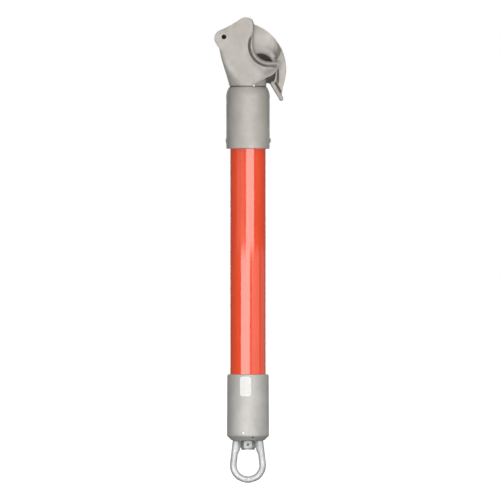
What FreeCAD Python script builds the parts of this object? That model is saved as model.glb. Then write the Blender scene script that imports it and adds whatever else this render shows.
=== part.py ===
import FreeCAD, Part
import math
import os

# An insulated link stick: a fibreglass pole with a cast hook head on top and a swivel eye below.
# Millimetres. +Z runs along the pole from the eye to the head, and the head's flat cheek faces -Y.
# The origin is the middle of the bare pole, on its axis.
# Each sub-part is written to its own STEP file in parts/.

V = FreeCAD.Vector

X_AXIS = V(1, 0, 0)
Y_AXIS = V(0, 1, 0)
Z_AXIS = V(0, 0, 1)

# Pole: the bare length between the two ferrules, and how deep it goes into each
POLE_R = 19.05
POLE_BORE_R = 15.9
POLE_TOP = 163.0
POLE_BOTTOM = -158.5
PLUG_LENGTH = 50.0
BOND_GAP = 0.15

# Head ferrule, from its lower rim up to the joint with the head
FERRULE_Z = 117.9
FERRULE_R = 22.7
FERRULE_LIP = 1.0
SHOULDER_H = 13.0
NECK_R = 19.6
NECK_Z = 183.2
TENON_R = 11.0
TENON_LENGTH = 16.0

# Tail ferrule, from its upper rim down to the nose, with the recess that hides the eye's bridge
TAIL_TOP_Z = -117.5
TAIL_TOP_R = 21.8
TAIL_R = 22.1
TAIL_CONE_Z = -182.0
NOSE_Z = -186.6
NOSE_R = 17.2
RECESS_R = 16.4
RECESS_Z = -179.1
CHAMBER_R = 13.0
CHAMBER_Z = -169.6

# Swivel: bolt, bushing, washers, nut and pin
BOLT_R = 4.76
BOLT_END_Z = -196.2
BOLT_HEAD_R = 8.2
BOLT_HEAD_H = 6.0
RUNNING_GAP = 0.05
BUSHING_R = 7.5
BUSHING_FLANGE_R = 11.5
BUSHING_FLANGE_H = 2.0
WASHER_R = 10.5
WASHER_H = 1.5
NUT_TOP_Z = -186.9
NUT_R = 8.2
NUT_H = 8.2
CASTLE_H = 1.5
CASTLE_R = 7.0
CASTLE_SLOT = 2.4
PIN_R = 1.2
PIN_BORE_R = 0.6
PIN_Z = -191.1

# Swivel eye
EYE_ROD_R = 3.6
EYE_BOW_R = 15.35
EYE_BOW_Z = -212.45
EYE_TOP_X = 12.3
BRIDGE_R = 16.0
BRIDGE_W = 19.0

# Cross rivets, lock pin, grease hole, weep hole and label
RIVET_R = 2.4
RIVET_HEAD_R = 2.9
RIVET_HEAD_H = 1.3
RIVET_TAIL_H = 0.7
HEAD_RIVET_Z = 126.5
TAIL_RIVET_Z = -130.0
LOCK_PIN_R = 1.5
LOCK_PIN_X = 6.2
OILER_R = 1.2
OILER_X = -5.0
OILER_Z = -178.8
WEEP_R = 0.8
WEEP_X = 5.1
WEEP_Z = -183.2
WEEP_DEPTH = 4.0
LABEL_T = 0.25
LABEL_X = (-8.5, 3.5)
LABEL_Z = (-140.6, -119.6)
LABEL_CORNER = 2.8

# Head casting: h is the height above the joint with the ferrule
CHEEK_Y0 = -18.0
CHEEK_Y1 = -13.5
EAR_CENTRE = (-26.1, 49.7)
EAR_R = 9.0
EAR_HOLE = (-25.1, 51.2)
EAR_HOLE_R = 2.35
EAR_HOLE_DEPTH = 12.0
EAR_BOSS_R = 5.6  # radius where the boss leaves the back of the ear
EAR_BOSS_TIP_R = 4.7
EAR_BOSS_FLOOR = 1.6
THROAT_CENTRE = (22.5, 42.0)  # centre of the J-shaped edge of the cheek
THROAT_R_FRONT = 17.9  # the edge leans inwards from the front of the cheek to its back
THROAT_R_BACK = 16.2
LIP_R = 19.0
LIP_ROD_R = 1.35
LIP_Y = -18.1
LIP_TILT_X = -3.0
LIP_TILT_Z = 2.0
PETAL_LIP_R = 0.9
HORN_CENTRE = (-9.6, 17.9)
HORN_R = 49.5
HORN_Y0 = -2.0
HORN_Y1 = 18.0
FLARE_FRONT = (14.6, 42.8, 20.9)
FLARE_BACK = (12.5, 21.9, 13.6)
FLARE_Y = 8.0
BORE_BACK = (12.5, 10.0, 13.6)


def at(x, h, y=0.0):
    """A point of the head, from its place across and its height above the joint."""
    return V(x, y, NECK_Z + h)


def cylinder(radius, low, high):
    """An upright cylinder on the pole's axis."""
    return Part.makeCylinder(radius, high - low, V(0, 0, low))


def cross_hole(radius, x, z, y0, y1):
    """A cylinder along Y."""
    return Part.makeCylinder(radius, y1 - y0, V(x, y0, z), Y_AXIS)


def path(*edges):
    """An outline. Each edge is 2 points for a line, or 3 for an arc through the middle one."""
    made = [Part.LineSegment(*e).toShape() if len(e) == 2 else Part.Arc(*e).toShape() for e in edges]
    return Part.Wire(made)


def turned(points):
    """A solid of revolution about the pole's axis, from (radius, z) pairs."""
    corners = [V(r, 0, z) for r, z in points]
    return Part.Face(Part.makePolygon(corners + corners[:1])).revolve(V(0, 0, 0), Z_AXIS, 360)


def prism(wire, y0, y1):
    """A plate with that outline, drawn in the plane y = 0, from y0 to y1."""
    face = Part.Face(wire)
    face.translate(V(0, y0, 0))
    return face.extrude(V(0, y1 - y0, 0))


def polygon(points):
    """A closed outline of straight edges, from (x, h) pairs on the head."""
    corners = [at(x, h) for x, h in points]
    return Part.makePolygon(corners + corners[:1])


def rounded_rim(points, radius):
    """A round rim along a smooth curve through those points."""
    curve = Part.BSplineCurve()
    curve.interpolate(points)
    along = curve.tangent(0.0)[0]
    ring = Part.Wire(Part.Circle(points[0], along, radius).toShape())
    return Part.Wire(curve.toShape()).makePipeShell([ring], True, True)


def superellipse(h, left, right, front, back, power):
    """A closed curve that is round for a power of 2 and squarer above that."""
    middle_x, middle_y = (left + right) / 2, (front + back) / 2
    half_x, half_y = (right - left) / 2, (back - front) / 2
    points = []
    for k in range(32):
        turn = 2 * math.pi * (k + 0.5) / 32
        c, s = math.cos(turn), math.sin(turn)
        x = middle_x + half_x * math.copysign(abs(c) ** (2 / power), c)
        y = middle_y + half_y * math.copysign(abs(s) ** (2 / power), s)
        points.append(at(x, h, y))
    curve = Part.BSplineCurve()
    curve.interpolate(points, PeriodicFlag=True)
    return Part.Wire(curve.toShape())


def head_body():
    """The casting's body: round at the neck and flat in front higher up, with a ramp behind."""
    sections = [
        superellipse(0.0, -19.3, 19.3, -19.3, 19.3, 2.0),
        superellipse(6.0, -20.9, 18.9, -19.0, 16.0, 2.3),
        superellipse(12.0, -22.6, 17.8, -18.5, 10.0, 3.0),
        superellipse(18.0, -24.5, 15.2, -18.2, 4.0, 4.2),
        superellipse(25.0, -26.6, 12.0, -18.05, -2.5, 5.0),
        superellipse(32.0, -28.4, 8.5, -18.0, -8.5, 5.0),
        superellipse(39.5, -29.9, 6.0, -18.0, -12.9, 5.0),
    ]
    return Part.makeLoft(sections, True, False)


def cheek_outline(y, throat_r, throat_top_x):
    """The cheek's outline at one depth, with the J-shaped throat at the given radius."""
    ear_x, ear_h = EAR_CENTRE
    jx, jh = THROAT_CENTRE

    def on_ear(degrees):
        turn = math.radians(degrees)
        return at(ear_x + EAR_R * math.cos(turn), ear_h + EAR_R * math.sin(turn), y)

    def on_j(degrees):
        turn = math.radians(degrees)
        return at(jx + throat_r * math.cos(turn), jh + throat_r * math.sin(turn), y)

    notch, crown_left, crown_right = at(-30.0, 39.2, y), at(-9.2, 69.0, y), at(throat_top_x - 1.6, 69.0, y)
    edge_top, corner = at(throat_top_x, 64.5, y), at(33.2, 25.2, y)
    petal, foot_right, foot_left = at(22.0, 10.0, y), at(8.0, 1.4, y), at(-8.0, 1.6, y)
    hip = at(-25.0, 32.0, y)
    return path(
        (foot_left, at(-14.0, 14.5, y), hip),
        (hip, notch),
        (notch, on_ear(205)),
        (on_ear(205), on_ear(160), on_ear(113)),
        (on_ear(113), at(-19.6, 62.7, y), crown_left),
        (crown_left, at(-2.5, 71.7, y), crown_right),
        (crown_right, edge_top),
        (edge_top, on_j(180)),
        (on_j(180), on_j(222), on_j(262)),
        (on_j(262), corner),
        (corner, at(29.6, 16.4, y), petal),
        (petal, at(14.4, 6.3, y), foot_right),
        (foot_right, foot_left),
    )


def cheek():
    """The flat cheek, with the ear, the J-shaped edge of the throat and the petal below it."""
    front = cheek_outline(CHEEK_Y0, THROAT_R_FRONT, 5.2)
    back = cheek_outline(CHEEK_Y1, THROAT_R_BACK, 6.6)
    return Part.makeLoft([front, back], True, True)


def swept(spine, start, along, radius):
    """A round bar along a path."""
    ring = Part.Wire(Part.Circle(start, along, radius).toShape())
    return spine.makePipeShell([ring], True, True)


def lip():
    """The rolled rim along the throat's edge, flush with the cheek on top and proud of it below."""
    jx, jh = THROAT_CENTRE
    low = jh - LIP_R
    turn = LIP_R * math.sqrt(0.5)
    top, side, bottom = at(jx - LIP_R, 56.0, LIP_Y), at(jx - LIP_R, jh, LIP_Y), at(jx, low, LIP_Y)
    spine = path(
        (top, side),
        (side, at(jx - turn, jh - turn, LIP_Y), bottom),
        (bottom, at(jx + 4.7, low + 0.3, LIP_Y), at(jx + 9.4, low + 1.2, LIP_Y)),
    )
    rim = swept(spine, top, Z_AXIS, LIP_ROD_R)
    rim.rotate(bottom, X_AXIS, LIP_TILT_X)
    rim.rotate(bottom, Z_AXIS, LIP_TILT_Z)
    return rim


def petal_lip():
    """The fine rounded edge along the petal, below the throat."""
    y = CHEEK_Y0 + 0.25
    lips = []
    for start, middle, end in (
        (at(31.7, 22.6, y), at(28.4, 15.6, y), at(21.8, 10.4, y)),
        (at(23.6, 11.4, y - 0.05), at(16.4, 8.0, y - 0.05), at(9.6, 3.4, y - 0.05)),
    ):
        arc = Part.Arc(start, middle, end)
        lips.append(swept(Part.Wire(arc.toShape()), start, arc.tangent(arc.FirstParameter)[0], PETAL_LIP_R))
    return lips


def horn_blank():
    """A thick disc with a rounded rear edge, cut to the stretch that the horn covers."""
    hx, hh = HORN_CENTRE
    rim = hx + HORN_R
    profile = path(
        (at(hx, hh, HORN_Y0), at(rim, hh, HORN_Y0)),
        (at(rim, hh, HORN_Y0), at(rim, hh, 6.0)),
        (at(rim, hh, 6.0), at(rim - 3.4, hh, 13.6), at(rim - 10.5, hh, HORN_Y1)),
        (at(rim - 10.5, hh, HORN_Y1), at(hx, hh, HORN_Y1)),
        (at(hx, hh, HORN_Y1), at(hx, hh, HORN_Y0)),
    )
    disc = Part.Face(profile).revolve(at(hx, hh), Y_AXIS, 360)
    left = [(-8, 75), (-13, 62), (-16, 50), (-20, 16), (-12, 3)]
    right = [(21.5, 3.2), (23.8, 2.6), (31, -9), (45, -9), (45, 75)]
    reach = polygon(left + right)
    return disc.common(prism(reach, HORN_Y0 - 1, HORN_Y1 + 1))


def funnel():
    """The flared way into the horn and the slanted bore behind it, as one solid to cut away."""
    rings = []
    for (x, h, r), y in ((FLARE_FRONT, HORN_Y0), (FLARE_BACK, FLARE_Y), (BORE_BACK, HORN_Y1)):
        rings.append(Part.Wire(Part.Circle(at(x, h, y), Y_AXIS, r).toShape()))
    slant = at(FLARE_FRONT[0], FLARE_FRONT[1], HORN_Y0) - at(FLARE_BACK[0], FLARE_BACK[1], FLARE_Y)
    mouth = rings[0].copy()
    mouth.translate(slant * 0.1)
    tail = rings[2].copy()
    tail.translate(V(0, 3, -3.6))
    return [
        Part.makeLoft([mouth, rings[0]], True, True),
        Part.makeLoft(rings[:2], True, True),
        Part.makeLoft(rings[1:], True, True),
        Part.makeLoft([rings[2], tail], True, True),
    ]


def horn():
    """The horn that curls over behind the throat and ends in a blade."""
    front_gap = prism(
        polygon([(4, 30), (29.8, 30), (29.8, 12), (28.0, 6), (25.0, 2.0), (24, -9), (4, -9)]),
        HORN_Y0 - 2,
        FLARE_Y,
    )
    rear_gap = prism(polygon([(4, 2), (22.0, 3.6), (22.0, -9), (4, -9)]), FLARE_Y - 1, HORN_Y1 + 2)
    return horn_blank().cut(funnel() + [front_gap, rear_gap])


def blade_tip():
    """The blade's narrow end, with a thin rim along its inner edge that swells into a finger."""
    outline = polygon(
        [(25, 1.6), (33.6, -12), (35.2, -10.5), (35.5, -7), (36.4, -1.5), (38.7, 6.5), (30, 12), (28, 6.2)]
    )
    edge = [at(30.4, 22.0, -1.0), at(29.9, 14.0, -1.6), at(29.0, 8.0, -1.9), at(27.0, 3.6, -1.9)]
    rim = rounded_rim(edge, 1.2)
    top, end = at(25.9, 2.9, -1.6), at(34.1, -11.6, -0.8)
    finger = Part.makeCone(2.85, 2.35, (end - top).Length, top, end - top)
    knuckle = Part.makeSphere(2.85, top)
    ball = Part.makeSphere(2.4, at(34.6, -12.9, -0.7))
    return [prism(outline, HORN_Y0, 6.0), rim, knuckle, finger, ball]


def web():
    """The thick web that joins the cheek to the horn behind it."""
    outline = polygon([(-15, 51), (-5, 47.5), (2.6, 49), (2.6, 66.5), (-6, 67.5), (-15, 63.5)])
    return prism(outline, CHEEK_Y1 - 1, HORN_Y0 + 3)


def ear_boss():
    """The boss behind the ear, which gives its hole its depth."""
    x, h = EAR_HOLE
    start = CHEEK_Y1 - 1.0
    length = CHEEK_Y0 + EAR_HOLE_DEPTH + EAR_BOSS_FLOOR - start
    return Part.makeCone(EAR_BOSS_R, EAR_BOSS_TIP_R, length, at(x, h, start), Y_AXIS)


def lock_pin(shorter=0.3):
    """The pin driven in across the joint, so that the head can't unscrew."""
    face_y = -math.sqrt(NECK_R**2 - LOCK_PIN_X**2)
    return cross_hole(LOCK_PIN_R, LOCK_PIN_X, NECK_Z + 0.7, face_y - 0.6 + shorter, face_y + 7.0)


def head_casting():
    """The hook head, one casting with a round tenon that fits its ferrule."""
    tenon = cylinder(TENON_R, NECK_Z - TENON_LENGTH, NECK_Z + 2)
    solid = head_body()
    for piece in [cheek(), tenon, web(), ear_boss(), horn(), lip()] + petal_lip() + blade_tip():
        solid = solid.fuse(piece)
    x, h = EAR_HOLE
    hole = cross_hole(EAR_HOLE_R, x, NECK_Z + h, CHEEK_Y0 - 3, CHEEK_Y0 + EAR_HOLE_DEPTH)
    return solid.cut([hole, lock_pin(0.0)])


def rivet(radius, z, right_head, left_head):
    """A cross rivet along X through a ferrule, the pole and its plug, with a domed end each side."""
    pin = Part.makeCylinder(RIVET_R, 2 * radius, V(-radius, 0, z), X_AXIS)
    for side, height in ((1, right_head), (-1, left_head)):
        if height:
            dome_r = (RIVET_HEAD_R**2 + height**2) / (2 * height)
            ball = Part.makeSphere(dome_r, V(side * (radius + height - dome_r), 0, z))
            keep = Part.makeCylinder(RIVET_HEAD_R + 1, height + 3, V(side * radius, 0, z), X_AXIS * side)
            pin = pin.fuse(ball.common(keep))
    return pin


def rivet_hole(z):
    return Part.makeCylinder(RIVET_R, 60, V(-30, 0, z), X_AXIS)


def head_ferrule():
    """The upper ferrule: bored for the pole below and for the head's tenon above."""
    r, shoulder = FERRULE_R, NECK_Z - SHOULDER_H
    profile = path(
        (V(0, 0, FERRULE_Z), V(r - FERRULE_LIP, 0, FERRULE_Z)),
        (V(r - FERRULE_LIP, 0, FERRULE_Z), V(r - 0.3, 0, FERRULE_Z + 0.3), V(r, 0, FERRULE_Z + FERRULE_LIP)),
        (V(r, 0, FERRULE_Z + FERRULE_LIP), V(r, 0, shoulder)),
        (V(r, 0, shoulder), V(21.9, 0, NECK_Z - 5.4), V(NECK_R, 0, NECK_Z - 0.9)),
        (V(NECK_R, 0, NECK_Z - 0.9), V(NECK_R - 1.0, 0, NECK_Z)),
        (V(NECK_R - 1.0, 0, NECK_Z), V(0, 0, NECK_Z)),
        (V(0, 0, NECK_Z), V(0, 0, FERRULE_Z)),
    )
    body = Part.Face(profile).revolve(V(0, 0, 0), Z_AXIS, 360)
    pole_bore = cylinder(POLE_R + BOND_GAP, FERRULE_Z - 1, POLE_TOP)
    tenon_bore = cylinder(TENON_R, POLE_TOP - 1, NECK_Z + 1)
    return body.cut([pole_bore, tenon_bore, rivet_hole(HEAD_RIVET_Z), lock_pin(0.0)])


def tail_ferrule():
    """The lower ferrule: bored for the pole, with a chamber for the bolt's head and a recessed nose."""
    body = turned(
        [
            (0, NOSE_Z),
            (NOSE_R, NOSE_Z),
            (TAIL_R - 1.6, TAIL_CONE_Z - 1.4),
            (TAIL_R - 0.5, TAIL_CONE_Z - 0.3),
            (TAIL_R, TAIL_CONE_Z + 1.0),
            (TAIL_TOP_R, TAIL_TOP_Z - 1.4),
            (TAIL_TOP_R - 0.4, TAIL_TOP_Z - 0.4),
            (TAIL_TOP_R - 1.4, TAIL_TOP_Z),
            (0, TAIL_TOP_Z),
        ]
    )
    hollows = [
        cylinder(POLE_R + BOND_GAP, POLE_BOTTOM, TAIL_TOP_Z + 1),
        cylinder(CHAMBER_R, CHAMBER_Z, POLE_BOTTOM + 1),
        cylinder(BUSHING_R, NOSE_Z - 1, CHAMBER_Z + 1),
        cylinder(RECESS_R, NOSE_Z - 1, RECESS_Z),
        rivet_hole(TAIL_RIVET_Z),
        cross_hole(OILER_R, OILER_X, OILER_Z, -30, -TAIL_R + 3.4),
        cross_hole(WEEP_R, WEEP_X, WEEP_Z, -30, -TAIL_R + WEEP_DEPTH),
    ]
    return body.cut(hollows)


def bond_line(low, high):
    """The thin sleeve of adhesive between the pole and a ferrule."""
    z = HEAD_RIVET_Z if low > 0 else TAIL_RIVET_Z
    return cylinder(POLE_R + BOND_GAP, low, high).cut([cylinder(POLE_R, low - 1, high + 1), rivet_hole(z)])


def oil_plug():
    """The small plug in the tail ferrule's grease hole."""
    face_y = -math.sqrt(TAIL_R**2 - OILER_X**2)
    return cross_hole(OILER_R, OILER_X, OILER_Z, face_y - 0.1, -TAIL_R + 3.4)


def pole_tube():
    body = cylinder(POLE_R, POLE_BOTTOM, POLE_TOP).cut(cylinder(POLE_BORE_R, POLE_BOTTOM - 1, POLE_TOP + 1))
    return body.cut([rivet_hole(HEAD_RIVET_Z), rivet_hole(TAIL_RIVET_Z)])


def end_plug(low, rivet_z):
    """A solid plug bonded into the pole's end, so that the rivet can't crush it."""
    return cylinder(POLE_BORE_R, low, low + PLUG_LENGTH).cut(rivet_hole(rivet_z))


def foam_core():
    return cylinder(POLE_BORE_R, POLE_BOTTOM + PLUG_LENGTH, POLE_TOP - PLUG_LENGTH)


def eye_loop():
    """The forged eye: a bow of round bar whose legs lean in to a flat bridge with a bore for the bolt."""
    bridge_top = RECESS_Z - RUNNING_GAP - WASHER_H
    lean = math.atan2(EYE_BOW_R - EYE_TOP_X, NUT_TOP_Z - EYE_BOW_Z)
    foot = V(EYE_BOW_R * math.cos(lean), 0, EYE_BOW_Z + EYE_BOW_R * math.sin(lean))
    knee_z = bridge_top - 2.0
    knee = V(foot.x - (knee_z - foot.z) * math.tan(lean), 0, knee_z)
    spine = path(
        (knee, foot),
        (foot, V(0, 0, EYE_BOW_Z - EYE_BOW_R), V(-foot.x, 0, foot.z)),
        (V(-foot.x, 0, foot.z), V(-knee.x, 0, knee.z)),
    )
    ring = Part.Wire(Part.Circle(knee, foot - knee, EYE_ROD_R).toShape())
    bow = spine.makePipeShell([ring], True, True)
    bridge = cylinder(BRIDGE_R, NUT_TOP_Z, bridge_top)
    bridge = bridge.common(Part.makeBox(60, BRIDGE_W, 60, V(-30, -BRIDGE_W / 2, NUT_TOP_Z - 5)))
    above = Part.makeBox(80, 80, 30, V(-40, -40, bridge_top))
    bore = cylinder(BOLT_R, NUT_TOP_Z - 1, bridge_top + 1)
    return bow.fuse(bridge).cut([above, bore])


def bolt_head_z():
    return CHAMBER_Z + BUSHING_FLANGE_H + RUNNING_GAP + WASHER_H


def swivel_bolt():
    """The bolt: its head turns in the tail ferrule's chamber, and the nut holds the eye on its end."""
    low = bolt_head_z()
    head = Part.Face(hexagon(BOLT_HEAD_R, low)).extrude(V(0, 0, BOLT_HEAD_H))
    shank = cylinder(BOLT_R, BOLT_END_Z, low + 1)
    return head.fuse(shank).removeSplitter().cut(cross_hole(PIN_R, 0, PIN_Z, -20, 20))


def hexagon(corner_r, z):
    """A hexagon with a flat towards -Y."""
    points = []
    for k in range(6):
        turn = math.radians(60 * k)
        points.append(V(corner_r * math.cos(turn), corner_r * math.sin(turn), z))
    return Part.makePolygon(points + points[:1])


def castle_nut():
    """The slotted nut, with its slots downwards and the pin's hole through its front flat."""
    low = NUT_TOP_Z - NUT_H
    flat_r = NUT_R * math.cos(math.pi / 6)
    body = Part.Face(hexagon(NUT_R, low)).extrude(V(0, 0, NUT_H))
    chamfer = turned(
        [(0, low), (flat_r - 0.1, low), (NUT_R + 0.3, low + 0.9), (NUT_R + 0.3, NUT_TOP_Z - 0.9),
         (flat_r - 0.1, NUT_TOP_Z), (0, NUT_TOP_Z)]
    )
    body = body.common(chamfer)
    crown = cylinder(CASTLE_R, low - CASTLE_H, low + 0.5)
    nut = body.fuse(crown)
    slots = []
    for k in range(3):
        slot = Part.makeBox(30, CASTLE_SLOT, CASTLE_H + 1, V(-15, -CASTLE_SLOT / 2, low - CASTLE_H - 1))
        slots.append(slot.rotated(V(0, 0, 0), Z_AXIS, 60 * k + 30))
    bore = cylinder(BOLT_R, NUT_TOP_Z - 20, NUT_TOP_Z + 1)
    return nut.removeSplitter().cut(slots + [bore, cross_hole(PIN_R, 0, PIN_Z, -20, 20)])


def nut_pin():
    """The hollow spring pin through the nut and the bolt."""
    half = NUT_R * math.cos(math.pi / 6) - 0.3
    return cross_hole(PIN_R, 0, PIN_Z, -half, half).cut(cross_hole(PIN_BORE_R, 0, PIN_Z, -20, 20))


def nose_bushing():
    flange = cylinder(BUSHING_FLANGE_R, CHAMBER_Z, CHAMBER_Z + BUSHING_FLANGE_H)
    sleeve = cylinder(BUSHING_R, RECESS_Z, CHAMBER_Z + 1)
    bore = cylinder(BOLT_R + RUNNING_GAP, RECESS_Z - 1, CHAMBER_Z + BUSHING_FLANGE_H + 1)
    return flange.fuse(sleeve).removeSplitter().cut(bore)


def washer(low):
    return cylinder(WASHER_R, low, low + WASHER_H).cut(cylinder(BOLT_R, low - 1, low + WASHER_H + 1))


def label():
    """A blank label wrapped round the front of the tail ferrule."""
    (x0, x1), (z0, z1) = LABEL_X, LABEL_Z
    r, d = LABEL_CORNER, LABEL_CORNER * (1 - math.sqrt(0.5))
    outline = path(
        (V(x0 + r, 0, z0), V(x1 - r, 0, z0)),
        (V(x1 - r, 0, z0), V(x1 - d, 0, z0 + d), V(x1, 0, z0 + r)),
        (V(x1, 0, z0 + r), V(x1, 0, z1 - r)),
        (V(x1, 0, z1 - r), V(x1 - d, 0, z1 - d), V(x1 - r, 0, z1)),
        (V(x1 - r, 0, z1), V(x0 + r, 0, z1)),
        (V(x0 + r, 0, z1), V(x0 + d, 0, z1 - d), V(x0, 0, z1 - r)),
        (V(x0, 0, z1 - r), V(x0, 0, z0 + r)),
        (V(x0, 0, z0 + r), V(x0 + d, 0, z0 + d), V(x0 + r, 0, z0)),
    )
    height = TAIL_TOP_Z - TAIL_CONE_Z
    outside = Part.makeCone(TAIL_R + LABEL_T, TAIL_TOP_R + LABEL_T, height, V(0, 0, TAIL_CONE_Z))
    return prism(outline, -TAIL_R - 5, -TAIL_R / 2).common(outside).cut(tail_ferrule_skin())


def tail_ferrule_skin():
    """The tail ferrule's outside as a plain solid, for what sits on it."""
    low, high = TAIL_CONE_Z + 1.0, TAIL_TOP_Z - 1.4
    return turned([(0, low), (TAIL_R, low), (TAIL_TOP_R, high), (0, high)])


NODES = {
    "head_casting": head_casting,
    "head_ferrule": head_ferrule,
    "head_lock_pin": lock_pin,
    "head_cross_rivet": lambda: rivet(FERRULE_R, HEAD_RIVET_Z, RIVET_HEAD_H, RIVET_TAIL_H),
    "head_bond_line": lambda: bond_line(FERRULE_Z, POLE_TOP),
    "pole_tube": pole_tube,
    "upper_end_plug": lambda: end_plug(POLE_TOP - PLUG_LENGTH, HEAD_RIVET_Z),
    "foam_core": foam_core,
    "lower_end_plug": lambda: end_plug(POLE_BOTTOM, TAIL_RIVET_Z),
    "tail_bond_line": lambda: bond_line(POLE_BOTTOM, TAIL_TOP_Z),
    "tail_ferrule": tail_ferrule,
    "tail_cross_rivet": lambda: rivet(TAIL_R - 0.25, TAIL_RIVET_Z, 0, 0),
    "grease_hole_plug": oil_plug,
    "blank_label": label,
    "nose_bushing": nose_bushing,
    "bolt_head_washer": lambda: washer(bolt_head_z() - WASHER_H),
    "eye_washer": lambda: washer(RECESS_Z - RUNNING_GAP - WASHER_H),
    "swivel_bolt": swivel_bolt,
    "eye_loop": eye_loop,
    "castle_nut": castle_nut,
    "nut_spring_pin": nut_pin,
}


def main():
    os.makedirs("parts", exist_ok=True)
    for name, make in NODES.items():
        shape = make()
        solids = shape.Solids
        shape = solids[0] if len(solids) == 1 else Part.makeCompound(solids)
        box = shape.BoundBox
        sides = (box.XMin, box.XMax, box.YMin, box.YMax, box.ZMin, box.ZMax)
        print(name, len(solids), shape.isValid(), round(shape.Volume), [round(side, 1) for side in sides])
        shape.exportStep(f"parts/{name}.step")


main()
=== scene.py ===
"""The look of an insulated link stick.

A glossy orange pole between two cast aluminium ferrules, with a spiral hook head on top and a galvanised
swivel eye below. The castings and the eye are rounded copies of their CAD solids.
"""

import math

import bmesh
import bpy
import numpy as np
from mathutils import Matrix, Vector


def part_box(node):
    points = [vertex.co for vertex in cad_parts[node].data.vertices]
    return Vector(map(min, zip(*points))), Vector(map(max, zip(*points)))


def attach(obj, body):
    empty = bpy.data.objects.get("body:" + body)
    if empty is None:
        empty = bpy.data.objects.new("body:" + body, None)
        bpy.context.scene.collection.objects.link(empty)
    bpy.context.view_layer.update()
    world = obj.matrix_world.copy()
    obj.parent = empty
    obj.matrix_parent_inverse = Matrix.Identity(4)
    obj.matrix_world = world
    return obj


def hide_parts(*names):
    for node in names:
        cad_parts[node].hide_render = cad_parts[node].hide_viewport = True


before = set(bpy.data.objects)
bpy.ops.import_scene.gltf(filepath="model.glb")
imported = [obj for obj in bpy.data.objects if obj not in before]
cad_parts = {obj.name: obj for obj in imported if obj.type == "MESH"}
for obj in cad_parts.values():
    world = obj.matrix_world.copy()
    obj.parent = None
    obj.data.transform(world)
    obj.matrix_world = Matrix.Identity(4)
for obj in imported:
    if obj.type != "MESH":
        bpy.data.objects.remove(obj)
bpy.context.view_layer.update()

MM = 0.001
VIEW_WIDTH = 0.5225  # width of the camera's view at the object, in metres
VIEW_CENTRE = Vector((0.0021, 0.0, 0.0122))
LENS = 600.0
SENSOR = 36.0
FLOOR_Z = -0.262
FLOOR_RADIUS = 60.0
BOX_JOINT = 0.012  # the height where the two front boxes meet

# What is carved into the head's front, in millimetres: x across, h above its joint, y back from the
# pole's axis. Two numbers fade something in from the first to the second; four fade it in and out again.
CHEEK_SKIN_Y = (-15.8, -16.6)
THROAT_CENTRE = (22.5, 42.0)
RIM_DROOP = 0.013  # the throat's rim droops right of its centre, as this times the distance squared
RIM_DROOP_END = 12.0
GROOVE_R = 21.2  # the groove runs just outside the throat's rolled rim
GROOVE_WIDTH = 1.05
GROOVE_DEPTH = 1.8
GROOVE_END_X = (33, 26)
GROOVE_RUN_H = (14, 18, 50, 58)
SWEEP_WIDTH = 2.4  # a wider, shallow hollow outside the groove
SWEEP_DEPTH = 0.9
SWEEP_TOP_H = (40, 30)
PETAL_CENTRE = (20.5, 15.6)
PETAL_LENGTHENED = 1.6
PETAL_SLOPE = 0.35
PETAL_WIDTH = 3.3
PETAL_DEPTH = 3.0
FLARE_CENTRE = (14.6, 42.8)
TRUMPET_R = 16.4
TRUMPET_WIDTH = 3.2
TRUMPET_DEPTH = 3.0
TRUMPET_TURN = (-75, -50, 5, 35)  # degrees round the flare's centre, from +x
TRUMPET_RUN_Y = (-2.3, -1.2, 5.0, 7.6)
FINGER_TOP = (25.9, 2.9)
FINGER_END = (34.1, -11.6)
FINGER_R = 2.9
BLADE_RIM_X = 31.2
CREASE_WIDTH = 0.8
CREASE_DEPTH = 1.5
CREASE_BACK_Y = (2.0, 0.0)
CREASE_RUN_FINGER = (-0.5, 1.5, 10, 14)  # along the finger, down from its top
CREASE_RUN_H = (2.5, 5.0, 15, 20)

# The eye's shoulders, which close on the nut's corners: millimetres out from the axis, or down from the
# nut's top
SHOULDER_X = 8.35
SHOULDER_REACH = (5.0, 8.0, 10.5, 15.5)
SHOULDER_END = (14.5, 9.3)
LEG_X = 8.7  # the inner side of a leg at the nut's top
LEG_LEAN = 0.12

# The coiled pin in the nut
COIL_TURNS = 2.2
COIL_STEPS = 90
COIL_STRIP = 0.37 * MM
COIL_CORE = 0.22 * MM


# Materials


def shade(colour, factor):
    """The same hue, darker or lighter."""
    return tuple(min(1.0, channel * factor) for channel in colour)


def warmer(colour):
    red, green, blue = colour
    return (red * 1.02, green * 0.96, blue * 0.92)


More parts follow.
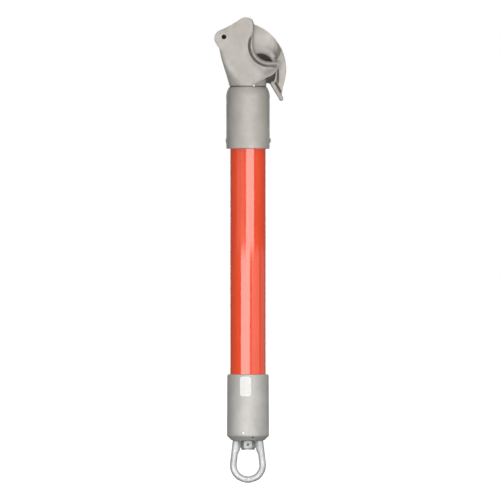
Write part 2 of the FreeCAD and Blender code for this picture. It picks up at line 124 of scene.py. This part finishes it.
class Material:
    """A Principled material and the few node recipes that the finishes share."""

    def __init__(self, name, roughness, metallic=0.0, **sockets):
        self.data = bpy.data.materials.new(name)
        self.data.use_nodes = True
        self.tree = self.data.node_tree
        self.shader = self.tree.nodes["Principled BSDF"]
        self.shader.inputs["Roughness"].default_value = roughness
        self.shader.inputs["Metallic"].default_value = metallic
        for socket, value in sockets.items():
            self.shader.inputs[socket.replace("_", " ")].default_value = value
        self.place = self.tree.nodes.new("ShaderNodeTexCoord").outputs["Object"]
        self.height = None

    def node(self, kind, **settings):
        made = self.tree.nodes.new(kind)
        for key, value in settings.items():
            setattr(made, key, value)
        return made

    def link(self, source, target):
        self.tree.links.new(source, target)

    def stretched(self, x, y, z):
        """Object coordinates scaled along each axis."""
        mapping = self.node("ShaderNodeMapping")
        mapping.inputs["Scale"].default_value = (x, y, z)
        self.link(self.place, mapping.inputs["Vector"])
        return mapping.outputs["Vector"]

    def noise(self, scale, detail=3.0, roughness=0.5, place=None):
        made = self.node("ShaderNodeTexNoise")
        made.inputs["Scale"].default_value = scale
        made.inputs["Detail"].default_value = detail
        made.inputs["Roughness"].default_value = roughness
        self.link(place or self.place, made.inputs["Vector"])
        return made.outputs["Fac"]

    def cells(self, scale, feature="F1", place=None):
        made = self.node("ShaderNodeTexVoronoi", feature=feature)
        made.inputs["Scale"].default_value = scale
        self.link(place or self.place, made.inputs["Vector"])
        return made

    def ramp(self, value, *stops):
        """A colour ramp through (position, colour) stops; a colour may be one grey number."""
        made = self.node("ShaderNodeValToRGB")
        elements = made.color_ramp.elements
        while len(elements) < len(stops):
            elements.new(0.5)
        for element, (position, colour) in zip(elements, stops):
            element.position = position
            element.color = (colour,) * 3 + (1,) if isinstance(colour, (int, float)) else tuple(colour) + (1,)
        self.link(value, made.inputs["Fac"])
        return made.outputs["Color"]

    def mix(self, factor, first, second, blend="MIX"):
        made = self.node("ShaderNodeMix", data_type="RGBA", blend_type=blend)
        for socket, value in ((made.inputs[0], factor), (made.inputs[6], first), (made.inputs[7], second)):
            if isinstance(value, bpy.types.NodeSocket):
                self.link(value, socket)
            elif isinstance(value, (int, float)):
                socket.default_value = value
            else:
                socket.default_value = tuple(value) + (1,)
        return made.outputs[2]

    def span(self, value, low, high, start=0.0, end=1.0):
        """Maps a value from one range to another, for roughness and masks."""
        made = self.node("ShaderNodeMapRange")
        for key, number in (("From Min", low), ("From Max", high), ("To Min", start), ("To Max", end)):
            made.inputs[key].default_value = number
        self.link(value, made.inputs["Value"])
        return made.outputs["Result"]

    def edges(self, low=0.52, high=0.60):
        """1 on sharp outer edges and 0 elsewhere."""
        geometry = self.node("ShaderNodeNewGeometry")
        return self.span(geometry.outputs["Pointiness"], low, high)

    def hollows(self, low=0.48, high=0.42):
        """1 in sharp inner corners and 0 elsewhere."""
        geometry = self.node("ShaderNodeNewGeometry")
        return self.span(geometry.outputs["Pointiness"], low, high)

    def depth(self, distance, low, high, start=0.0, end=1.0):
        """Grows from open places to shut-in ones, for painted shade there."""
        made = self.node("ShaderNodeAmbientOcclusion", samples=8)
        made.inputs["Distance"].default_value = distance
        return self.span(made.outputs["AO"], low, high, start, end)

    def within(self, centre, radius, start_y, end_y, soft=0.5 * MM):
        """Grows from 0 to 1 down a hollow that opens to the front: a circle (x, z), and two depths."""
        flat = self.node("ShaderNodeVectorMath", operation="MULTIPLY")
        flat.inputs[1].default_value = (1, 0, 1)
        self.link(self.place, flat.inputs[0])
        away = self.node("ShaderNodeVectorMath", operation="DISTANCE")
        away.inputs[1].default_value = (centre[0], 0, centre[1])
        self.link(flat.outputs[0], away.inputs[0])
        near = self.span(away.outputs["Value"], radius + soft, radius - soft)
        deep = self.span(self.along(self.place, "Y"), start_y, end_y)
        normal = self.node("ShaderNodeNewGeometry").outputs["Normal"]
        turned_back = self.span(self.along(normal, "Y"), 0.25, 0.05)
        return self.product(self.product(near, deep), turned_back)

    def along(self, vector, axis):
        parts = self.node("ShaderNodeSeparateXYZ")
        self.link(vector, parts.inputs[0])
        return parts.outputs[axis]

    def product(self, first, second):
        made = self.node("ShaderNodeMath", operation="MULTIPLY")
        self.link(first, made.inputs[0])
        self.link(second, made.inputs[1])
        return made.outputs[0]

    def colour(self, value):
        self.link(value, self.shader.inputs["Base Color"])

    def rough(self, value):
        self.link(value, self.shader.inputs["Roughness"])

    def bump(self, value, strength, distance):
        """Adds a layer of relief, distance in metres."""
        made = self.node("ShaderNodeBump")
        made.inputs["Strength"].default_value = strength
        made.inputs["Distance"].default_value = distance
        self.link(value, made.inputs["Height"])
        if self.height is not None:
            self.link(self.height, made.inputs["Normal"])
        self.height = made.outputs["Normal"]
        self.link(self.height, self.shader.inputs["Normal"])


def cast_aluminium(name, light, dark, roughness, shaded_hollows=(), lit_walls=()):
    """Sand-cast aluminium, lightly blasted: cloudy grey with fine grain, paler edges that are partly wear and
    partly painted highlight, and painted shade in its corners, creases and depths.

    Of the two lists, the first holds a tone and a place for each hollow given painted shade, and the second a
    place for each wall given painted light.
    """
    m = Material(name, roughness, metallic=0.36, IOR=1.5)
    clouds = m.noise(42, 5, 0.6)
    patches = m.noise(14, 3, 0.55)
    grain = m.noise(1500, 3, 0.65)
    pits = m.cells(620, "SMOOTH_F1").outputs["Distance"]
    base = m.ramp(clouds, (0.32, dark), (0.68, light))
    base = m.mix(m.span(patches, 0.42, 0.62, 0.0, 0.35), base, warmer(dark))
    base = m.mix(0.22, base, m.ramp(grain, (0.3, 0.28), (0.7, 0.78)), "OVERLAY")
    base = m.mix(m.span(pits, 0.10, 0.02, 0.0, 0.35), base, shade(dark, 0.55))
    # painted shade in sharp inner corners
    base = m.mix(m.hollows(), base, shade(dark, 0.50))
    # paler sharp edges: partly wear, partly painted highlight
    base = m.mix(m.edges(0.55, 0.64), base, shade(light, 1.10))
    # painted shade in narrow creases, and far darker painted shade deep in recesses
    base = m.mix(m.depth(3 * MM, 0.97, 0.55, 0.0, 0.9), base, shade(dark, 0.25))
    base = m.mix(m.depth(16 * MM, 0.42, 0.16, 0.0, 0.95), base, shade(dark, 0.06))
    # painted light on each listed wall, patchy with the clouds
    for place in lit_walls:
        painted_light = m.product(m.within(*place), m.span(clouds, 0.2, 0.6, 0.5, 1.0))
        base = m.mix(painted_light, base, shade(light, 1.30))
    # painted shade down each listed hollow, to its own tone
    for tone, place in shaded_hollows:
        base = m.mix(m.within(*place), base, shade(dark, tone))
    m.colour(base)
    m.rough(m.span(m.noise(180, 4), 0.3, 0.7, roughness - 0.07, roughness + 0.09))
    m.bump(m.noise(95, 4, 0.6), 0.35, 0.35 * MM)
    m.bump(grain, 0.30, 0.10 * MM)
    m.bump(pits, 0.12, 0.10 * MM)
    return m.data


def orange_fibreglass():
    """Pigmented fibreglass under a clear gloss coat, with faint lengthwise fibres."""
    m = Material("orange_fibreglass", 0.30, IOR=1.5, Coat_Weight=1.0, Coat_Roughness=0.06, Coat_IOR=1.62)
    m.shader.inputs["Specular IOR Level"].default_value = 0.25
    fibres = m.noise(1.0, 4, 0.6, m.stretched(900, 900, 14))
    clouds = m.noise(26, 3)
    base = m.ramp(fibres, (0.30, (0.82, 0.060, 0.011)), (0.70, (0.95, 0.080, 0.016)))
    base = m.mix(m.span(clouds, 0.35, 0.65, 0.0, 0.30), base, (0.97, 0.095, 0.025))
    specks = m.cells(240).outputs["Distance"]
    base = m.mix(m.span(specks, 0.05, 0.02, 0.0, 0.12), base, (0.52, 0.05, 0.015))
    m.colour(base)
    m.rough(m.span(fibres, 0.3, 0.7, 0.26, 0.36))
    m.bump(fibres, 0.10, 0.03 * MM)
    m.bump(m.noise(30, 2), 0.10, 0.12 * MM)
    return m.data


def galvanised(name, light, dark, roughness=0.36):
    """Hot-dip zinc on a forging: pale bluish grey, cloudy, with soft spangles."""
    m = Material(name, roughness, metallic=0.45, IOR=1.5)
    spangle = m.cells(330).outputs["Color"]
    clouds = m.noise(75, 5, 0.62)
    base = m.ramp(clouds, (0.30, dark), (0.70, light))
    base = m.mix(0.16, base, m.ramp(spangle, (0.1, 0.32), (0.9, 0.72)), "OVERLAY")
    # painted shade in sharp inner corners
    base = m.mix(m.hollows(), base, shade(dark, 0.55))
    # paler sharp edges: partly wear, partly painted highlight
    base = m.mix(m.edges(0.54, 0.66), base, shade(light, 1.12))
    # painted shade in recesses
    base = m.mix(m.depth(5 * MM, 0.55, 0.15, 0.0, 0.8), base, shade(dark, 0.22))
    m.colour(base)
    m.rough(m.span(m.noise(230, 3), 0.3, 0.7, roughness - 0.08, roughness + 0.12))
    m.bump(m.noise(210, 4, 0.55), 0.35, 0.18 * MM)
    m.bump(m.noise(1300, 2), 0.15, 0.04 * MM)
    return m.data


def machined(name, light, dark, roughness, metallic=0.9, turned=True, gloss=0.5):
    """A turned metal surface with fine rings round the pole's axis, slightly stained."""
    m = Material(name, roughness, metallic=metallic, IOR=1.8, Specular_IOR_Level=gloss)
    rings = m.noise(1.0, 3, 0.6, m.stretched(60, 60, 2600) if turned else m.stretched(2600, 60, 60))
    base = m.ramp(rings, (0.3, dark), (0.7, light))
    base = m.mix(m.span(m.noise(160, 4), 0.45, 0.75, 0.0, 0.5), base, shade(dark, 0.72))
    m.colour(base)
    m.rough(m.span(rings, 0.3, 0.7, roughness - 0.06, roughness + 0.08))
    m.bump(rings, 0.12, 0.03 * MM)
    return m.data


def label_film():
    """Blank white vinyl with a faint orange-peel and slightly grubby patches."""
    m = Material("white_film", 0.42, IOR=1.45)
    base = m.ramp(m.noise(320, 4), (0.3, (0.74, 0.735, 0.71)), (0.7, (0.81, 0.805, 0.78)))
    base = m.mix(m.span(m.noise(90, 5, 0.7), 0.58, 0.75, 0.0, 0.35), base, (0.62, 0.605, 0.56))
    m.colour(base)
    m.rough(m.span(m.noise(500, 2), 0.3, 0.7, 0.36, 0.50))
    m.bump(m.noise(420, 2), 0.15, 0.03 * MM)
    return m.data


def plain_grainy(name, light, dark, roughness, scale):
    """A dull moulded or foamed material: two close tones in fine cells."""
    m = Material(name, roughness)
    grain = m.noise(scale, 4, 0.6)
    m.colour(m.ramp(grain, (0.3, dark), (0.7, light)))
    m.rough(m.span(grain, 0.3, 0.7, roughness - 0.05, roughness + 0.05))
    m.bump(m.cells(scale).outputs["Distance"], 0.4, 0.15 * MM)
    return m.data


def dark_sealant():
    """The black compound in the joints between the castings and the pole."""
    m = Material("joint_sealant", 0.55)
    m.colour(m.ramp(m.noise(700, 4), (0.3, (0.030, 0.026, 0.024)), (0.7, (0.075, 0.066, 0.060))))
    m.bump(m.noise(900, 3), 0.5, 0.08 * MM)
    return m.data


def pale_floor():
    m = Material("pale_floor", 0.65, Emission_Color=(1, 1, 1, 1), Emission_Strength=0.85)
    m.colour(m.ramp(m.noise(9, 4), (0.3, (0.90, 0.90, 0.90)), (0.7, (0.93, 0.93, 0.93))))
    m.bump(m.noise(60, 3), 0.05, 0.2 * MM)
    return m.data


# Mesh helpers


def only_material(obj, material):
    obj.data.materials.clear()
    obj.data.materials.append(material)


def add_piece(name, mesh, body, material, replaces=()):
    """A new object that rides on a body, shaded smooth."""
    obj = bpy.data.objects.new(name, mesh)
    bpy.context.collection.objects.link(obj)
    only_material(obj, material)
    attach(obj, body)
    if replaces:
        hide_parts(*replaces)
    return obj


def applied(obj):
    """Turns the object's modifiers into mesh."""
    graph = bpy.context.evaluated_depsgraph_get()
    mesh = bpy.data.meshes.new_from_object(obj.evaluated_get(graph))
    obj.modifiers.clear()
    obj.data = mesh
    return obj


def softened(node, name, body, material, voxel, passes):
    """A copy of a CAD node with its corners rounded as a casting's or forging's are."""
    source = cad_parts[node]
    mesh = source.data.copy()
    mesh.materials.clear()
    obj = add_piece(name, mesh, body, material, (node,))
    remesh = obj.modifiers.new("remesh", "REMESH")
    remesh.mode = "VOXEL"
    remesh.voxel_size = voxel
    remesh.use_smooth_shade = True
    smooth = obj.modifiers.new("smooth", "SMOOTH")
    smooth.factor = 0.5
    smooth.iterations = passes
    applied(obj)
    only_material(obj, material)
    for polygon in obj.data.polygons:
        polygon.use_smooth = True
    return obj


def bell(distance, width):
    return np.exp(-((distance / width) ** 2))


def fade(value, start, end):
    """Runs smoothly from 0 at start to 1 at end."""
    t = np.clip((value - start) / (end - start), 0, 1)
    return t * t * (3 - 2 * t)


def window(value, limits):
    """1 between the middle two limits, running smoothly to 0 at the outer two."""
    start, full, last, end = limits
    return fade(value, start, full) * fade(value, end, last)


def throat_groove(x, h):
    """How deep the front is cut beside the throat's rolled rim, with the wider sweep outside it."""
    across = x - THROAT_CENTRE[0]
    round_throat = np.hypot(across, h - THROAT_CENTRE[1])
    below_rim = THROAT_CENTRE[1] - h - RIM_DROOP * np.clip(across, 0, RIM_DROOP_END) ** 2
    left_half = fade(across, 1, -1)
    outside = left_half * round_throat + (1 - left_half) * below_rim - GROOVE_R
    groove = GROOVE_DEPTH * bell(outside, GROOVE_WIDTH)
    sweep = SWEEP_DEPTH * bell(outside - SWEEP_WIDTH, SWEEP_WIDTH) * fade(h, *SWEEP_TOP_H)
    return (groove + sweep) * window(h, GROOVE_RUN_H) * fade(x, *GROOVE_END_X)


def petal_dish(x, h):
    """How deep the petal below the throat is dished."""
    across = x - PETAL_CENTRE[0]
    above = h - PETAL_CENTRE[1] - PETAL_SLOPE * across
    return PETAL_DEPTH * bell(np.hypot(across / PETAL_LENGTHENED, above), PETAL_WIDTH)


def trumpet(x, y, h):
    """How far the flare's wall is opened out like a trumpet's mouth."""
    across, above = x - FLARE_CENTRE[0], h - FLARE_CENTRE[1]
    ring = bell(np.hypot(across, above) - TRUMPET_R, TRUMPET_WIDTH)
    turn = np.degrees(np.arctan2(above, across))
    return TRUMPET_DEPTH * ring * window(turn, TRUMPET_TURN) * window(y, TRUMPET_RUN_Y)


def finger_crease(x, y, h):
    """How deep the crease is that parts the blade from its inner rim, and from the finger below."""
    side = math.atan2(FINGER_END[1] - FINGER_TOP[1], FINGER_END[0] - FINGER_TOP[0])
    across, up = x - FINGER_TOP[0], h - FINGER_TOP[1]
    down = across * math.cos(side) + up * math.sin(side)
    right = up * math.cos(side) - across * math.sin(side)
    beside_finger = bell(right - FINGER_R, CREASE_WIDTH) * window(down, CREASE_RUN_FINGER)
    beside_rim = bell(x - BLADE_RIM_X, CREASE_WIDTH) * window(h, CREASE_RUN_H)
    return CREASE_DEPTH * np.maximum(beside_finger, beside_rim) * fade(y, *CREASE_BACK_Y)


def vertex_rows(mesh):
    rows = np.empty(len(mesh.vertices) * 3)
    mesh.vertices.foreach_get("co", rows)
    return rows.reshape(-1, 3)


def put_vertices(mesh, rows):
    mesh.vertices.foreach_set("co", rows.ravel())
    mesh.update()


def carve(head):
    """Works the head's front: a groove beside the throat's rim, a dished petal and a trumpet-shaped flare."""
    points = vertex_rows(head.data)
    x, y, h = points[:, 0] / MM, points[:, 1] / MM, (points[:, 2] - NECK_Z) / MM
    skin = fade(y, *CHEEK_SKIN_Y) * (throat_groove(x, h) + petal_dish(x, h))
    points[:, 1] += (skin + trumpet(x, y, h) + finger_crease(x, y, h)) * MM
    put_vertices(head.data, points)


def shoulder(eye):
    """Thickens the tops of the eye's legs inward, up to the nut."""
    points = vertex_rows(eye.data)
    out = np.abs(points[:, 0]) / MM
    down = (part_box("castle_nut")[1][2] - points[:, 2]) / MM
    gap = np.clip(LEG_X + LEG_LEAN * down - SHOULDER_X, 0, None)
    shift = gap * window(out, SHOULDER_REACH) * fade(down, *SHOULDER_END)
    points[:, 0] -= np.sign(points[:, 0]) * shift * MM
    put_vertices(eye.data, points)


def coiled_pin(node, name, body, material):
    """A pin rolled from thin strip, a little over two turns, in the place of the plain CAD pin."""
    low, high = (Vector(corner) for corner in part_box(node))
    centre = (low + high) / 2
    outer = (high.x - low.x) / 2
    bm = bmesh.new()
    rows = []
    for k in range(COIL_STEPS + 1):
        part = k / COIL_STEPS
        turn = 2 * math.pi * COIL_TURNS * part
        middle = outer - COIL_STRIP / 2 - (outer - COIL_STRIP / 2 - COIL_CORE) * part
        row = []
        for radius in (middle + COIL_STRIP / 2, middle - COIL_STRIP / 2):
            for y in (low.y, high.y):
                place = (centre.x + radius * math.cos(turn), y, centre.z + radius * math.sin(turn))
                row.append(bm.verts.new(place))
        rows.append(row)
    for (a, b, c, d), (e, f, g, h) in zip(rows, rows[1:]):
        for face in ((a, b, f, e), (c, g, h, d), (a, e, g, c), (b, d, h, f)):
            bm.faces.new(face)
    for a, b, c, d in (rows[0], rows[-1]):
        bm.faces.new((a, c, d, b))
    bmesh.ops.recalc_face_normals(bm, faces=bm.faces)
    mesh = bpy.data.meshes.new(name)
    bm.to_mesh(mesh)
    bm.free()
    return add_piece(name, mesh, body, material, (node,))


# The object

NECK_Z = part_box("head_ferrule")[1][2]  # the joint below the head


def at_head(x, h):
    """A place across the head, from millimetres right of the axis and above the joint."""
    return x * MM, NECK_Z + h * MM


# Painted shade for the head's dark hollows: a tone, then a circle across the front and the depths it runs
# between
SHADE_PAINTED_IN_HOLLOWS = [
    (0.12, (at_head(-25.1, 51.2), 2.4 * MM, -17.8 * MM, -15.5 * MM)),  # painted shade in the ear's hole
    (0.30, (at_head(12.5, 18.0), 17.0 * MM, 7.6 * MM, 9.5 * MM)),  # painted shade down the horn's bore
    (0.22, (at_head(23.5, 8.0), 8.0 * MM, 2.0 * MM, 7.0 * MM)),  # painted shade in the gap below the petal
]
# Painted light on the flare's walls: a circle across the front and the depths it runs between
LIGHT_PAINTED_ON_FLARE = [
    (at_head(10.0, 50.0), 16.0 * MM, -1.2 * MM, 2.0 * MM, 5.0 * MM),  # painted light on the flare's upper wall
    (at_head(12.5, 21.9), 19.0 * MM, 4.6 * MM, 6.2 * MM),  # painted highlight on the rim where the flare meets the bore
]
# Painted shade: a dark spot on the tail ferrule where its small weep hole is
WEEP_HOLE_SHADE = (0.35, ((5.1 * MM, -183.2 * MM), 0.7 * MM, -24.0 * MM, -22.5 * MM))
ALUMINIUM = cast_aluminium(
    "cast_aluminium", (0.53, 0.505, 0.466), (0.422, 0.402, 0.368), 0.58, SHADE_PAINTED_IN_HOLLOWS, LIGHT_PAINTED_ON_FLARE
)
TAIL_ALUMINIUM = cast_aluminium(
    "tail_aluminium", (0.57, 0.55, 0.517), (0.475, 0.457, 0.43), 0.58, [WEEP_HOLE_SHADE]
)
ORANGE = orange_fibreglass()
ZINC = galvanised("galvanised_steel", (0.655, 0.66, 0.655), (0.53, 0.54, 0.54), 0.52)
PLATED = galvanised("plated_steel", (0.40, 0.415, 0.40), (0.29, 0.305, 0.295), 0.50)
RIVET = machined("aluminium_rivet", (0.60, 0.585, 0.55), (0.48, 0.47, 0.44), 0.55, 0.3, turned=False)
# Near black and dull with no metal sheen: the pin's own dark steel, darkened further as painted shade so the
# pin reads as a dark dot
SHADED_SPRING_STEEL = machined(
    "spring_steel_painted_shade", (0.030, 0.028, 0.026), (0.014, 0.013, 0.012), 0.8, 0.0, turned=False, gloss=0.1
)
BRIGHT = machined("bright_plug", (0.74, 0.73, 0.70), (0.60, 0.59, 0.56), 0.45, 0.5, turned=False)
BRONZE = machined("bronze", (0.62, 0.40, 0.17), (0.46, 0.28, 0.11), 0.34)
FILM = label_film()
LAMINATE = plain_grainy("glass_epoxy", (0.74, 0.70, 0.48), (0.62, 0.58, 0.38), 0.55, 900)
FOAM = plain_grainy("foam", (0.85, 0.78, 0.58), (0.76, 0.68, 0.48), 0.9, 700)
ADHESIVE = dark_sealant()

CAD_MATERIALS = {
    "pole_tube": ORANGE,
    "upper_end_plug": LAMINATE,
    "lower_end_plug": LAMINATE,
    "foam_core": FOAM,
    "head_bond_line": ADHESIVE,
    "tail_bond_line": ADHESIVE,
    "head_lock_pin": RIVET,
    "head_cross_rivet": RIVET,
    "tail_cross_rivet": RIVET,
    "grease_hole_plug": BRIGHT,
    "blank_label": FILM,
    "nose_bushing": BRONZE,
    "bolt_head_washer": BRONZE,
    "eye_washer": BRONZE,
    "swivel_bolt": PLATED,
    "castle_nut": PLATED,
}
for node, material in CAD_MATERIALS.items():
    only_material(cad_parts[node], material)

head = softened("head_casting", "hook_head", "stick", ALUMINIUM, 0.38 * MM, 6)
carve(head)
softened("head_ferrule", "head_ferrule_casting", "stick", ALUMINIUM, 0.5 * MM, 5)
softened("tail_ferrule", "tail_ferrule_casting", "stick", TAIL_ALUMINIUM, 0.4 * MM, 4)
coiled_pin("nut_spring_pin", "coiled_spring_pin", "eye", SHADED_SPRING_STEEL)
eye = softened("eye_loop", "forged_eye", "eye", ZINC, 0.4 * MM, 6)
shoulder(eye)


# Floor, lights and camera


def add_floor():
    bm = bmesh.new()
    bmesh.ops.create_circle(bm, cap_ends=True, radius=FLOOR_RADIUS, segments=96)
    mesh = bpy.data.meshes.new("floor")
    bm.to_mesh(mesh)
    bm.free()
    floor = bpy.data.objects.new("floor", mesh)
    floor.location = (0, 0, FLOOR_Z)
    bpy.context.collection.objects.link(floor)
    only_material(floor, pale_floor())
    floor.visible_diffuse = False
    floor.visible_glossy = False


def soft_box(name, azimuths, heights, distance, radiance):
    """A light that fills that range of azimuth and height, seen from the pole; azimuth 0 is in front."""
    first, last = (math.radians(a) for a in azimuths)
    middle = (first + last) / 2
    back = Vector((math.sin(middle), -math.cos(middle), 0))
    data = bpy.data.lights.new(name, "AREA")
    data.shape = "RECTANGLE"
    data.size = 2 * distance * math.tan((last - first) / 2)
    data.size_y = heights[1] - heights[0]
    data.energy = radiance * math.pi * data.size * data.size_y
    obj = bpy.data.objects.new(name, data)
    obj.location = back * distance + Vector((0, 0, sum(heights) / 2))
    obj.rotation_mode = "QUATERNION"
    obj.rotation_quaternion = back.to_track_quat("Z", "Y")
    bpy.context.collection.objects.link(obj)


def studio_world():
    """White behind the object, and a dimmer surround for its light and reflections."""
    world = bpy.data.worlds.new("studio")
    world.use_nodes = True
    nodes, links = world.node_tree.nodes, world.node_tree.links
    surround = nodes["Background"]
    surround.inputs["Color"].default_value = (0.86, 0.88, 0.90, 1)
    surround.inputs["Strength"].default_value = 0.20
    behind = nodes.new("ShaderNodeBackground")
    behind.inputs["Color"].default_value = (1, 1, 1, 1)
    behind.inputs["Strength"].default_value = 1.0
    path = nodes.new("ShaderNodeLightPath")
    mix = nodes.new("ShaderNodeMixShader")
    links.new(path.outputs["Is Camera Ray"], mix.inputs["Fac"])
    links.new(surround.outputs["Background"], mix.inputs[1])
    links.new(behind.outputs["Background"], mix.inputs[2])
    links.new(mix.outputs["Shader"], nodes["World Output"].inputs["Surface"])
    bpy.context.scene.world = world


def sun(strength, tilt_x, tilt_z, angle):
    data = bpy.data.lights.new("sky_sun", "SUN")
    data.energy = strength
    data.angle = math.radians(angle)
    obj = bpy.data.objects.new("sky_sun", data)
    obj.rotation_euler = (math.radians(tilt_x), 0, math.radians(tilt_z))
    bpy.context.collection.objects.link(obj)


def add_camera():
    data = bpy.data.cameras.new("camera")
    data.lens = LENS
    data.sensor_width = SENSOR
    data.clip_end = 100
    obj = bpy.data.objects.new("camera", data)
    distance = VIEW_WIDTH * LENS / SENSOR
    obj.location = VIEW_CENTRE + Vector((0, -distance, 0))
    obj.rotation_euler = (math.pi / 2, 0, 0)
    bpy.context.collection.objects.link(obj)
    bpy.context.scene.camera = obj


add_floor()
studio_world()
sun(0.8, 24, 0, 50)
soft_box("upper_box", (-12, 38), (BOX_JOINT, 0.36), 1.2, 4.4)
soft_box("lower_box", (-45, 12), (-0.34, BOX_JOINT), 1.2, 4.4)
soft_box("upper_left_card", (-75, -25), (BOX_JOINT, 0.36), 1.2, 0.5)
soft_box("lower_right_card", (25, 75), (-0.34, BOX_JOINT), 1.2, 1.0)
soft_box("lower_side_card", (88, 128), (-0.34, BOX_JOINT), 1.2, 0.45)
soft_box("head_card", (38, 78), (0.17, 0.55), 1.2, 0.9)
soft_box("back_box", (152, 208), (-0.30, 0.36), 1.2, 2.4)
soft_box("floor_bounce", (-50, 50), (-1.1, -0.40), 1.4, 3.0)
add_camera()
bpy.context.scene.view_settings.view_transform = "Standard"
